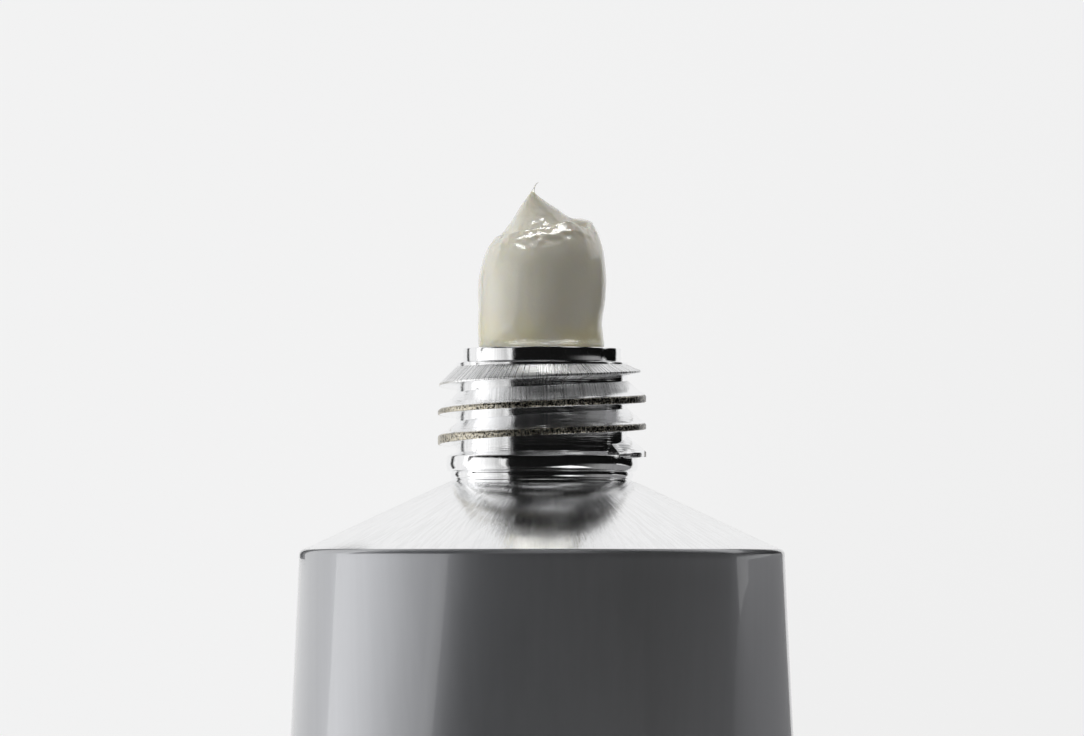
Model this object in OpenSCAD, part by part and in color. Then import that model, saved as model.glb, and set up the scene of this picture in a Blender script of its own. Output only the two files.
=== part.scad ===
// Collapsible aluminium hand cream tube, open, with cream standing out of its mouth.
// Millimetres. It lies on its lower wall, which is flat on the XY plane. +Y runs along
// the tube towards the mouth, +X across it and +Z up. The origin is on the surface
// that the tube lies on, under the middle of the whole part.

/* [Body] */
// Diameter of the round end of the body, over the lacquer
tube_d = 35; // [32:0.5:38]
// Length of the body, from its round end to the fold
body_len = 128; // [110:1:145]
// Fullness of the upper wall: 1 is a straight wedge, more is a fuller tube
fullness = 1.86; // [1.5:0.02:2.2]
// Thickness of the aluminium wall
wall_t = 0.12; // [0.1:0.01:0.16]
// Thickness of the lacquer on the wall
coat_t = 0.03; // [0.02:0.005:0.05]

/* [Shoulder] */
// Slope of the shoulder, in degrees from square to the neck
shoulder_deg = 25; // [20:1:30]
// Thickness of the shoulder
shoulder_t = 0.6; // [0.5:0.05:0.9]
// Radius over the lacquer where the shoulder turns down into the body
rim_r = 0.5; // [0.3:0.05:0.6]

/* [Neck] */
// Height of the neck above the shoulder
neck_h = 9.5; // [8.5:0.1:12]
// Diameter of the hole that the cream comes out of
mouth_d = 9.1; // [7:0.1:9.6]
// Diameter of the plain lip at the mouth
lip_d = 11.4; // [10.8:0.1:11.8]
// Height of the lip
lip_h = 1.05; // [0.8:0.05:1.6]
// Diameter of the collar under the thread
collar_d = 13.9; // [13.3:0.1:14.5]
// Height of the collar
collar_h = 1.2; // [0.9:0.05:1.6]
// Diameter of the neck's foot, between the collar and the shoulder
foot_d = 13; // [12.6:0.1:13.2]
// Height of the foot
foot_h = 0.65; // [0.5:0.05:1]

/* [Thread] */
// Diameter over the thread's crest
thread_d = 15; // [14.6:0.1:15.6]
// Diameter at the thread's root
root_d = 12.3; // [12:0.1:12.5]
// Rise of one turn
thread_pitch = 2; // [1.8:0.05:2.4]
// Width of the flat on the crest
crest_w = 0.35; // [0.2:0.05:0.45]
// Height that the crest's lower side slopes over
under_h = 0.22; // [0.15:0.01:0.25]

/* [Fold] */
// Height of the double fold that closes the tail
fold_h = 6; // [4.5:0.25:8]
// Gap between the layers of the fold
fold_gap = 0.02; // [0.015:0.005:0.04]
// Thickness of the sealant between the two walls
seal_t = 0.05; // [0.04:0.01:0.08]

/* [Cream] */
// Height of the cream above the mouth
bead_h = 12; // [9:0.25:14]
// Width of the bead
bead_w = 9.2; // [8:0.1:9.6]
// Depth of the bead as a share of its width
bead_depth = 0.96; // [0.85:0.01:1.05]
// Empty length of the body next to the fold
headspace = 12.8; // [6:0.1:30]

/* [Hidden] */

tube_r = tube_d / 2;
metal_r = tube_r - coat_t;
inside = coat_t + wall_t;

// The fold is a strip of both walls with their lacquer and the sealant, turned over twice.
strip_t = 2 * coat_t + 2 * wall_t + seal_t;
layer_pitch = strip_t + fold_gap;
fold_w = strip_t + PI * (tube_d - strip_t) / 2;

// The lower wall lies flat, so the neck's axis points up by the body's taper.
tilt = asin((tube_r - strip_t / 2) / body_len);

// The rim turns through the angle between the body's side and the shoulder.
rim_turn = 90 - shoulder_deg;
slope = tan(shoulder_deg);
shoulder_drop = shoulder_t / cos(shoulder_deg);
rim_top_r = tube_r - rim_r + (rim_r - coat_t) * cos(rim_turn);
rim_top_h = shoulder_drop - (rim_top_r - (tube_r - inside)) * slope;
rim_h = rim_top_h - (rim_r - coat_t) * sin(rim_turn);

// The neck's foot runs down into the shoulder and ends in a flat land around the hole.
joint_r = (mouth_d + foot_d) / 4;
land_step = 0.1;
land_h = shoulder_under(joint_r) - land_step;
land_r = joint_r + land_step / slope;
neck_base = shoulder_over(foot_d / 2);
mouth_h = neck_base + neck_h;

// Heights on the neck, from the shoulder up.
collar_top = foot_h + collar_h;
lip_base = neck_h - lip_h;
collar_chamfer = 0.2;
lip_round = 0.12;

// The thread starts in the collar's top edge and fades out a little under the lip.
thread_steps = 36;
thread_lead = 0.1;
thread_fade = 0.7;
thread_bury = 0.25;
thread_least = 0.22;
thread_top_gap = 0.06;
thread_turns = (lip_base - collar_top - crest_w) / thread_pitch;

// Facets around the body and along it, and along the rim.
sides = 48;
stations = 20;
rim_steps = 4;
smooth = 96;

// Place of the body's round end, which puts the origin under the middle of the part.
part_reach = body_len + fold_h + tube_r * sin(tilt);
rim_y = (part_reach - (mouth_h + bead_h) * cos(tilt)) / 2;
tail_y = rim_y - body_len;

// Outline of the bead as the eye sees it: height, left edge and right edge, as shares of
// the bead's height and half width, and how far each level leans back.
bead_outline = [
    [0.00, -0.98, 0.98, 0.00],
    [0.15, -0.99, 0.95, 0.00],
    [0.27, -0.99, 1.00, 0.00],
    [0.38, -0.98, 1.01, 0.00],
    [0.51, -0.92, 1.00, 0.00],
    [0.61, -0.82, 0.95, 0.02],
    [0.68, -0.68, 0.88, 0.06],
    [0.73, -0.52, 0.76, 0.12],
    [0.79, -0.41, 0.46, 0.18],
    [0.87, -0.29, 0.09, 0.20],
    [0.94, -0.17, -0.08, 0.18],
    [1.00, -0.08, -0.03, 0.16]
];
bead_sides = 32;
bead_root = 0.6;

// Top and underside of the shoulder at a radius, as heights above the body's round end.
function shoulder_over(r) = rim_top_h + (rim_top_r - r) * slope;
function shoulder_under(r) = shoulder_over(r) - shoulder_drop;

// The body at a share u of its length: thickness, tilt of its section and centre.
function body_t(u) = strip_t + (tube_d - strip_t) * ((1 - u) + (1 - pow(u, fullness))) / 2;
function section_tilt(u) = tilt * (1 - u);
function up(u) = [0, -sin(section_tilt(u)), cos(section_tilt(u))];
function centre(u) = [0, rim_y - u * body_len, 0] + up(u) * body_t(u) / 2;

// Corners of a rounded section of given straight half width and radius, in its plane.
function corners(half, r) = [
    for (k = [0 : sides - 1])
        let (q = (k + 0.5) * 360 / sides, corner_r = r / cos(180 / sides))
            [(cos(q) > 0 ? half : -half) + corner_r * cos(q), corner_r * sin(q)]
];

// Rings of points: around the neck's axis, and around the body a depth below its lacquer.
function neck_point(x, v, h) = centre(0) + x * [1, 0, 0] + v * up(0) + h * [0, cos(tilt), sin(tilt)];
function neck_ring(r, h) = [for (c = corners(0, r)) neck_point(c[0], c[1], h)];
function body_ring(u, depth) = [
    for (c = corners(PI * (tube_d - body_t(u)) / 4, body_t(u) / 2 - depth))
        centre(u) + [c[0], 0, 0] + c[1] * up(u)
];

function rim_rings(depth) = [
    for (i = [0 : rim_steps])
        let (a = rim_turn * (1 - i / rim_steps))
            neck_ring(tube_r - rim_r + (rim_r - depth) * cos(a), rim_h + (rim_r - depth) * sin(a))
];
function body_rings(depth, last = 1) = [
    for (i = [0 : stations])
        if (i / stations <= last) body_ring(i / stations, depth)
];
function reversed(list) = [for (i = [len(list) - 1 : -1 : 0]) list[i]];
function flat(lists) = [for (list = lists) each list];

// Triangles between neighbouring rings of n points, and round to the first if it closes.
function band_faces(count, n, closes) = [
    for (i = [0 : closes ? count - 1 : count - 2], k = [0 : n - 1])
        let (j = (i + 1) % count, l = (k + 1) % n)
            each [[i * n + k, j * n + k, j * n + l], [i * n + k, j * n + l, i * n + l]]
];

// A shell whose rings run down its outside and back up its inside.
module shell(rings) {
    polyhedron(flat(rings), band_faces(len(rings), len(rings[0]), true));
}

// A solid whose rings run from its first end to its last.
module solid(rings) {
    n = len(rings[0]);
    ends = [[for (k = [0 : n - 1]) k], [for (k = [n - 1 : -1 : 0]) (len(rings) - 1) * n + k]];
    polyhedron(flat(rings), concat(band_faces(len(rings), n, false), ends));
}

// Puts children that stand on the body's round end, along +Z, on the tilted neck axis.
module on_neck() {
    translate(centre(0)) rotate([tilt - 90, 0, 0]) children();
}

// Section of the neck, from the land around the hole up to the mouth.
module neck_section() {
    translate([0, neck_base]) polygon([
        [mouth_d / 2, land_h - neck_base],
        [foot_d / 2, land_h - neck_base],
        [foot_d / 2, foot_h],
        [collar_d / 2, foot_h],
        [collar_d / 2, collar_top - collar_chamfer],
        [root_d / 2, collar_top],
        [root_d / 2, lip_base],
        [lip_d / 2, lip_base],
        [lip_d / 2, neck_h - lip_round],
        [lip_d / 2 - lip_round, neck_h],
        [mouth_d / 2, neck_h]
    ]);
}

// How far the crest stands out of its buried base, up to 1, at a number of turns.
function thread_rise(turns) = max(thread_least, min(1, (turns + thread_lead) / thread_lead,
    (thread_turns - turns) / thread_fade));

// Section of the thread at a number of turns: a flat crest over a steep lower side, with
// a long slope above it.
function thread_section(turns) =
    let (
        z = neck_base + collar_top + turns * thread_pitch,
        base = root_d / 2 - thread_bury,
        start = turns < 0 ? collar_d / 2 - thread_bury : base,
        crest = start + (thread_d / 2 - start) * thread_rise(turns),
        long_side = min(crest - base, thread_pitch - crest_w - under_h - thread_top_gap),
        top = min(z + crest_w / 2 + long_side, neck_base + lip_base - thread_top_gap)
    ) [
        [base, z - crest_w / 2 - under_h],
        [crest, z - crest_w / 2],
        [crest, z + crest_w / 2],
        [base + thread_bury / 2, top],
        [base, top]
    ];

module thread() {
    first = -floor(thread_lead * thread_steps);
    last = floor(thread_turns * thread_steps);
    solid([
        for (i = [last : -1 : first])
            let (a = i * 360 / thread_steps)
                [for (p = thread_section(i / thread_steps)) [p[0] * cos(a), p[0] * sin(a), p[1]]]
    ]);
}

// Section of the folded strip, of half thickness e: the lower layer runs from the body
// to the tail, the strip turns up over it, and its end is tucked between the two.
module fold_section(e) {
    turn_y = tail_y - fold_h + layer_pitch + strip_t / 2;
    front_y = tail_y - layer_pitch;
    end_y = turn_y + layer_pitch;
    lower_z = strip_t / 2;
    strip_piece(turn_y, tail_y, lower_z, e);
    strip_piece(turn_y, front_y, lower_z + 2 * layer_pitch, e);
    strip_piece(end_y, front_y, lower_z + layer_pitch, e);
    translate([turn_y, lower_z + layer_pitch]) strip_turn(layer_pitch, e, -1);
    translate([front_y, lower_z + 1.5 * layer_pitch]) strip_turn(layer_pitch / 2, e, 1);
}

module strip_piece(from_y, to_y, z, e) {
    translate([from_y, z - e]) square([to_y - from_y, 2 * e]);
}

module strip_turn(r, e, side) {
    reach = r + 2 * e;
    difference() {
        circle(r + e, $fn = smooth);
        circle(r - e, $fn = smooth);
        translate([side > 0 ? -reach : 0, -reach]) square([reach, 2 * reach]);
    }
}

// A piece of the fold across the tube, of half thickness e and a given width.
module fold_piece(e, width) {
    translate([-width / 2, 0, 0]) rotate([90, 0, 90])
        linear_extrude(width) fold_section(e);
}

module tube() {
    color("silver") {
        on_neck() rotate_extrude($fn = smooth) neck_section();
        on_neck() thread();
        shell(concat(
            [neck_ring(joint_r, shoulder_over(joint_r))],
            rim_rings(coat_t),
            body_rings(coat_t),
            reversed(body_rings(inside)),
            [neck_ring(joint_r, shoulder_under(joint_r))]
        ));
        difference() {
            fold_piece(strip_t / 2 - coat_t, fold_w - 2 * coat_t);
            fold_piece(seal_t / 2, fold_w - 2 * inside);
        }
    }
}

module lacquer_coat() {
    color("dimgray") {
        shell(concat(
            rim_rings(0),
            body_rings(0),
            reversed(body_rings(coat_t)),
            reversed(rim_rings(coat_t))
        ));
        difference() {
            fold_piece(strip_t / 2, fold_w);
            fold_piece(strip_t / 2 - coat_t, fold_w - 2 * coat_t);
        }
    }
}

// Level of the bead: its outline's edges give the middle and the half width.
function bead_ring(level) = [
    for (k = [0 : bead_sides - 1])
        let (
            q = -k * 360 / bead_sides,
            middle = (level[1] + level[2]) / 2,
            half = (level[2] - level[1]) / 2
        ) [
            bead_w / 2 * (middle + half * cos(q)),
            bead_w / 2 * (half * bead_depth * sin(q) + level[3]),
            mouth_h + bead_h * level[0]
        ]
];

module cream() {
    full = 1 - headspace / body_len;
    color("lightgray") {
        solid(concat([neck_ring(land_r, land_h)], body_rings(inside, full)));
        on_neck() translate([0, 0, land_h - 1])
            cylinder(d = mouth_d, h = mouth_h - land_h + 1, $fn = smooth);
        on_neck() solid(reversed(concat(
            [[for (p = bead_ring(bead_outline[0])) [p[0] * 0.8, p[1] * 0.8, p[2] - bead_root]]],
            [for (level = bead_outline) bead_ring(level)]
        )));
    }
}

module end_sealant() {
    color("darkkhaki") fold_piece(seal_t / 2, fold_w - 2 * inside);
}

tube();
lacquer_coat();
cream();
end_sealant();
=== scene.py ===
import math

import bmesh
import bpy
from bpy.props import FloatProperty, FloatVectorProperty, PointerProperty
from mathutils import Matrix, Vector, noise


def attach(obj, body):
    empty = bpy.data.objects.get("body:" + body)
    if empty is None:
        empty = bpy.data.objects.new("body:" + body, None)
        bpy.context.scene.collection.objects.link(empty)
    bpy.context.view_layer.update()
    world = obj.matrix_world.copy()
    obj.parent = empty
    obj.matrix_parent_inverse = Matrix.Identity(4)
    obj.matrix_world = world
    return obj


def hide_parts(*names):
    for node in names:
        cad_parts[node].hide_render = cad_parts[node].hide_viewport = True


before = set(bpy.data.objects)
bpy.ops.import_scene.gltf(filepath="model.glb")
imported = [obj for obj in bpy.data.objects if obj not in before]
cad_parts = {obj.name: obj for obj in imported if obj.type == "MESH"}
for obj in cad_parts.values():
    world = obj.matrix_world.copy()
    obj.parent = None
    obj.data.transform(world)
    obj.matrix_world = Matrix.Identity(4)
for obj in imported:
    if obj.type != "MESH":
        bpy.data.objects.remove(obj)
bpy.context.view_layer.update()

bl_info = {
    "name": "Hand Cream Tube",
    "version": (1, 0, 0),
    "blender": (4, 5, 0),
    "location": "3D View > Sidebar > Cream Tube",
    "description": "Builds a lacquered aluminium hand cream tube with cream standing out of its mouth",
    "category": "Add Mesh",
}

MM = 0.001
TURN = 2 * math.pi
# Segments round the neck, the body and the bead
ROUND_STEPS = 192
# Vertices nearer to each other than this are one
WELD = 1e-7


def length(name, description, default, **limits):
    """A length property, given in millimetres."""
    return FloatProperty(
        name=name, description=description, default=default * MM, unit="LENGTH", subtype="DISTANCE",
        precision=5, **limits,
    )


def share(name, description, default, top=1.0):
    return FloatProperty(
        name=name, description=description, default=default, min=0, max=top, subtype="FACTOR",
    )


def colour(name, description, default):
    return FloatVectorProperty(
        name=name, description=description, default=default, size=3, min=0, max=1, subtype="COLOR",
    )


class TubeSizes(bpy.types.PropertyGroup):
    """Sizes of the aluminium tube and its lacquer."""

    tube_d: length("Body diameter", "Diameter of the round end of the body, over the lacquer", 35)
    body_len: length("Body length", "Length of the body, from its round end to the fold", 128)
    fullness: FloatProperty(
        name="Fullness", description="Fullness of the upper wall: 1 is a straight wedge", default=1.86
    )
    wall_t: length("Wall", "Thickness of the aluminium wall", 0.12)
    coat_t: length("Lacquer", "Thickness of the lacquer on the wall", 0.03)
    shoulder_angle: FloatProperty(
        name="Shoulder slope", description="Slope of the shoulder from square to the neck",
        default=math.radians(25), unit="ROTATION", subtype="ANGLE",
    )
    shoulder_t: length("Shoulder thickness", "Thickness of the shoulder", 0.6)
    rim_r: length("Rim radius", "Radius over the lacquer where the shoulder turns down", 0.5)
    seal_t: length("Sealant", "Thickness of the sealant between the walls in the fold", 0.05)
    fold_h: length("Fold height", "Height of the double fold that closes the tail", 6)
    fold_gap: length("Fold gap", "Gap between the layers of the fold", 0.02)


class NeckSizes(bpy.types.PropertyGroup):
    """Sizes of the neck, its collar and its thread."""

    neck_h: length("Neck height", "Height of the neck above the shoulder", 9.5)
    mouth_d: length("Mouth", "Diameter of the hole that the cream comes out of", 9.1)
    lip_d: length("Lip diameter", "Diameter of the plain lip at the mouth", 11.4)
    lip_h: length("Lip height", "Height of the lip", 1.05)
    collar_d: length("Collar diameter", "Diameter of the collar under the thread", 13.9)
    collar_h: length("Collar height", "Height of the collar", 1.2)
    foot_d: length("Foot diameter", "Diameter of the foot between collar and shoulder", 13)
    foot_h: length("Foot height", "Height of the foot", 0.65)
    thread_d: length("Thread diameter", "Diameter over the thread's crest", 15)
    root_d: length("Root diameter", "Diameter at the thread's root", 12.3)
    thread_pitch: length("Pitch", "Rise of one turn of the thread", 2)
    crest_w: length("Crest width", "Width of the flat on the crest", 0.35)
    under_h: length("Lower side", "Height that the crest's lower side slopes over", 0.22)


class CreamSizes(bpy.types.PropertyGroup):
    """Sizes of the cream."""

    bead_h: length("Bead height", "Height of the cream above the mouth", 12)
    bead_w: length("Bead width", "Width of the bead", 9.2)
    bead_depth: share("Bead depth", "Depth of the bead as a share of its width", 0.96, 1.2)
    headspace: length("Headspace", "Empty length of the body next to the fold", 12.8)


class TubeFinishes(bpy.types.PropertyGroup):
    """Colours and gloss of the tube and the cream."""

    metal: colour("Aluminium", "Colour of the bare aluminium", (0.97, 0.972, 0.976))
    metal_rough: share("Aluminium roughness", "Roughness of the bare aluminium", 0.10)
    crest: colour("Worn crest", "Colour of the worn crest of the thread", (0.62, 0.57, 0.46))
    lacquer: colour("Lacquer", "Colour of the grey lacquer", (0.41, 0.414, 0.43))
    lacquer_metallic: share("Lacquer metallic", "How metallic the lacquer is", 0.72)
    lacquer_rough: share("Lacquer roughness", "Roughness of the lacquer under its gloss", 0.31)
    cream: colour("Cream", "Colour of the cream", (0.80, 0.762, 0.64))
    cream_rough: share("Cream roughness", "Roughness of the cream", 0.34)
    sealant: colour("Sealant", "Colour of the latex in the fold", (0.55, 0.47, 0.30))


class StageSettings(bpy.types.PropertyGroup):
    """Floor, background and light."""

    floor: colour("Floor", "Colour of the floor", (0.85, 0.85, 0.85))
    backdrop: colour("Backdrop", "Colour of the background as it is seen", (0.90, 0.90, 0.90))
    side_light: FloatProperty(name="Side light", description="Radiance of the left panel", default=1.9)
    low_light: FloatProperty(name="Low light", description="Radiance of the low panel", default=1.0)
    rim_light: FloatProperty(name="Rim light", description="Radiance of the strip in front", default=2)
    cream_light: FloatProperty(
        name="Cream light", description="Radiance of the panel that the cream shows", default=9
    )
    top_light: FloatProperty(name="Top light", description="Radiance of the panel above", default=0.10)
    fill: FloatProperty(name="Fill", description="Level of the light from all round", default=0.09)


class TubeForm:
    """The tube's measures in metres, and places on its neck and body.

    A place round the tube is an angle: 0 is across to the right and a quarter turn is up.
    """

    def __init__(self, tube, neck):
        self.tube_d, self.radius = tube.tube_d, tube.tube_d / 2
        self.body_len, self.fullness = tube.body_len, tube.fullness
        self.coat_t, self.inside = tube.coat_t, tube.coat_t + tube.wall_t
        self.rim_r = tube.rim_r
        self.strip_t = 2 * tube.coat_t + 2 * tube.wall_t + tube.seal_t
        self.layer_pitch = self.strip_t + tube.fold_gap
        self.fold_w = self.strip_t + math.pi * (tube.tube_d - self.strip_t) / 2
        self.fold_h = tube.fold_h
        self.tilt = math.asin((self.radius - self.strip_t / 2) / tube.body_len)
        self.rim_turn = math.pi / 2 - tube.shoulder_angle
        self.slope = math.tan(tube.shoulder_angle)
        self.shoulder_drop = tube.shoulder_t / math.cos(tube.shoulder_angle)
        reach = tube.rim_r - tube.coat_t
        self.rim_top_r = self.radius - tube.rim_r + reach * math.cos(self.rim_turn)
        self.rim_top_h = self.shoulder_drop - (self.rim_top_r - self.radius + self.inside) * self.slope
        self.rim_h = self.rim_top_h - reach * math.sin(self.rim_turn)
        self.neck_base = self.shoulder_over(neck.foot_d / 2)
        self.mouth_h = self.neck_base + neck.neck_h
        self.collar_top = neck.foot_h + neck.collar_h
        self.lip_base = neck.neck_h - neck.lip_h
        self.thread_turns = (self.lip_base - self.collar_top - neck.crest_w) / neck.thread_pitch
        self.along = Vector((0, math.cos(self.tilt), math.sin(self.tilt)))
        highest = self.mouth_h + bpy.context.scene.cream_sizes.bead_h
        part_reach = self.body_len + tube.fold_h + self.radius * math.sin(self.tilt)
        self.rim_y = (part_reach - highest * math.cos(self.tilt)) / 2
        self.tail_y = self.rim_y - self.body_len
        self.neck_centre = self.centre(0)

    def shoulder_over(self, r):
        return self.rim_top_h + (self.rim_top_r - r) * self.slope

    def body_t(self, u):
        return self.strip_t + (self.tube_d - self.strip_t) * ((1 - u) + (1 - u**self.fullness)) / 2

    def up(self, u):
        tilt = self.tilt * (1 - u)
        return Vector((0, -math.sin(tilt), math.cos(tilt)))

    def centre(self, u):
        return Vector((0, self.rim_y - u * self.body_len, 0)) + self.up(u) * self.body_t(u) / 2

    def neck(self, r, around, h):
        across = Vector((r * math.cos(around), 0, 0))
        return self.neck_centre + across + self.up(0) * r * math.sin(around) + self.along * h

    def body(self, u, around, depth):
        """Place at a share u of the body's length. It runs round the section at an even pace."""
        full_r = self.body_t(u) / 2
        half, r = math.pi * (self.tube_d - self.body_t(u)) / 4, full_r - depth
        pace = (4 * half + TURN * full_r) / TURN
        run = ((around + math.pi / 2) % TURN) * pace
        side = 1
        if run >= TURN / 2 * pace:
            side, run = -1, run - TURN / 2 * pace
        if run < half:
            x, v = run, -r
        elif run < half + math.pi * full_r:
            a = (run - half) / full_r - math.pi / 2
            x, v = half + r * math.cos(a), r * math.sin(a)
        else:
            x, v = 2 * half + math.pi * full_r - run, r
        return self.centre(u) + Vector((side * x, 0, 0)) + self.up(u) * side * v

    def around(self, place):
        """The angle of a place on the neck or the rim."""
        offset = place - self.neck_centre
        return math.atan2(offset.dot(self.up(0)), offset.x) % TURN


def form():
    scene = bpy.context.scene
    return TubeForm(scene.tube_sizes, scene.neck_sizes)


def smoothstep(x, low=0.0, high=1.0):
    x = min(1, max(0, (x - low) / (high - low)))
    return x * x * (3 - 2 * x)


def curve_through(points, x):
    """A smooth curve through points of x and y, read at x."""
    if x <= points[0][0]:
        return points[0][1]
    for i in range(len(points) - 1):
        (x0, y0), (x1, y1) = points[i], points[i + 1]
        if x <= x1:
            before, after = points[max(i - 1, 0)], points[min(i + 2, len(points) - 1)]
            t, span = (x - x0) / (x1 - x0), x1 - x0
            m0 = (y1 - before[1]) / (x1 - before[0]) * span
            m1 = (after[1] - y0) / (after[0] - x0) * span
            return (
                (2 * t**3 - 3 * t**2 + 1) * y0 + (t**3 - 2 * t**2 + t) * m0
                + (3 * t**2 - 2 * t**3) * y1 + (t**3 - t**2) * m1
            )
    return points[-1][1]


# Mesh tools


def new_ring(mesh, segments, place):
    """Starts a mesh with a ring whose vertices remember their angle."""
    around = mesh.verts.layers.float.new("around")
    made = bmesh.ops.create_circle(mesh, cap_ends=False, segments=segments, radius=1)["verts"]
    edges = {e for v in made for e in v.link_edges}
    for v in made:
        v[around] = math.atan2(v.co.y, v.co.x) % TURN
        v.co = place(v[around])
    return list(edges)


def extruded(mesh, edges):
    """Extrudes edges. Gives the new vertices, and the new edges between them."""
    made = bmesh.ops.extrude_edge_only(mesh, edges=edges)["geom"]
    fresh = [v for v in made if isinstance(v, bmesh.types.BMVert)]
    known = set(fresh)
    return fresh, [e for e in made if isinstance(e, bmesh.types.BMEdge) and set(e.verts) <= known]


def next_ring(mesh, edges, place):
    """Extrudes a ring and puts each new vertex where its angle belongs."""
    around = mesh.verts.layers.float["around"]
    fresh, edges = extruded(mesh, edges)
    for v in fresh:
        v.co = place(v[around])
    return edges


def finished(name, mesh, *materials, sharp=None):
    """Makes an object of a mesh, with its faces outward and smooth."""
    bmesh.ops.recalc_face_normals(mesh, faces=mesh.faces)
    for face in mesh.faces:
        face.smooth = True
    data = bpy.data.meshes.new(name)
    mesh.to_mesh(data)
    mesh.free()
    if sharp:
        data.set_sharp_from_angle(angle=math.radians(sharp))
    piece = bpy.data.objects.new(name, data)
    bpy.context.scene.collection.objects.link(piece)
    for material in materials:
        data.materials.append(material)
    return piece


def dress(piece, node):
    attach(piece, "root")
    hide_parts(node)


# Materials


class Recipe:
    """A material or world, built one node at a time. An input is a value or a node's output."""

    def __init__(self, name, kind="materials"):
        self.made = getattr(bpy.data, kind).new(name)
        self.made.use_nodes = True
        self.tree = self.made.node_tree
        self.tree.nodes.clear()

    def add(self, kind, settings=None, **inputs):
        node = self.tree.nodes.new("ShaderNode" + kind)
        for key, value in (settings or {}).items():
            setattr(node, key, value)
        for key, value in inputs.items():
            key = key.replace("_", " ")
            socket = node.inputs[int(key[1:]) if key[1:].isdigit() else key]
            if isinstance(value, bpy.types.NodeSocket):
                self.tree.links.new(value, socket)
            else:
                socket.default_value = value
        return node

    def math(self, operation, a, b=0.0, clamp=False):
        return self.add("Math", {"operation": operation, "use_clamp": clamp}, i0=a, i1=b).outputs[0]

    def plus(self, base, value, factor, clamp=False):
        """The base and a value times a factor."""
        return self.math("ADD", base, self.math("MULTIPLY", value, factor), clamp)

    def span(self, value, low, high, start=0.0, end=1.0):
        settings = {"interpolation_type": "SMOOTHSTEP"}
        return self.add(
            "MapRange", settings, Value=value, From_Min=low, From_Max=high, To_Min=start, To_Max=end
        ).outputs[0]

    def mix(self, factor, a, b):
        node = self.add("Mix", {"data_type": "RGBA"})
        for socket, value in zip((node.inputs[0], node.inputs[6], node.inputs[7]), (factor, a, b)):
            if isinstance(value, bpy.types.NodeSocket):
                self.tree.links.new(value, socket)
            else:
                socket.default_value = value
        return node.outputs[2]

    def noise(self, vector, scale, detail=2.0, roughness=0.5):
        return self.add(
            "TexNoise", Vector=vector, Scale=scale, Detail=detail, Roughness=roughness
        ).outputs[0]

    def stretched(self, vector, x, y, z):
        return self.add("VectorMath", {"operation": "MULTIPLY"}, i0=vector, i1=(x, y, z)).outputs[0]

    def bump(self, height, distance, strength=1.0, below=None):
        inputs = {"Height": height, "Distance": distance, "Strength": strength}
        if below:
            inputs["Normal"] = below
        return self.add("Bump", **inputs).outputs[0]

    def place(self):
        """Object coordinates in millimetres."""
        return self.stretched(self.add("TexCoord").outputs["Object"], 1000, 1000, 1000)

    def neck_place(self):
        """Millimetres in the neck's own frame: its z runs up the neck from the body's round end."""
        shape = form()
        return self.add(
            "Mapping", {"vector_type": "TEXTURE"}, Vector=self.add("TexCoord").outputs["Object"],
            Location=shape.neck_centre, Rotation=(shape.tilt - math.pi / 2, 0, 0),
            Scale=(MM, MM, MM),
        ).outputs[0]

    def from_axis(self, place):
        """Direction and distance of a neck place from the neck's axis."""
        flat = self.stretched(place, 1, 1, 0)
        heading = self.add("VectorMath", {"operation": "NORMALIZE"}, i0=flat).outputs[0]
        return heading, self.add("VectorMath", {"operation": "LENGTH"}, i0=flat).outputs[1]

    def neck_height(self, place, base):
        """Millimetres that a neck place lies above a height on the neck."""
        return self.math("SUBTRACT", self.add("SeparateXYZ", Vector=place).outputs[2], base / MM)

    def turned_lines(self, place):
        """Fine lines round the neck, as a lathe leaves them."""
        return self.noise(self.stretched(place, 0.12, 0.12, 5.5), 1.0, 3.0, 0.6)

    def output(self, shader, kind="OutputMaterial"):
        self.add(kind, Surface=shader.outputs[0])
        return self.made


def rgba(values):
    return (*values, 1.0)


def shade(values, factor):
    """A colour made darker or lighter."""
    return rgba([factor * c for c in values])


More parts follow.
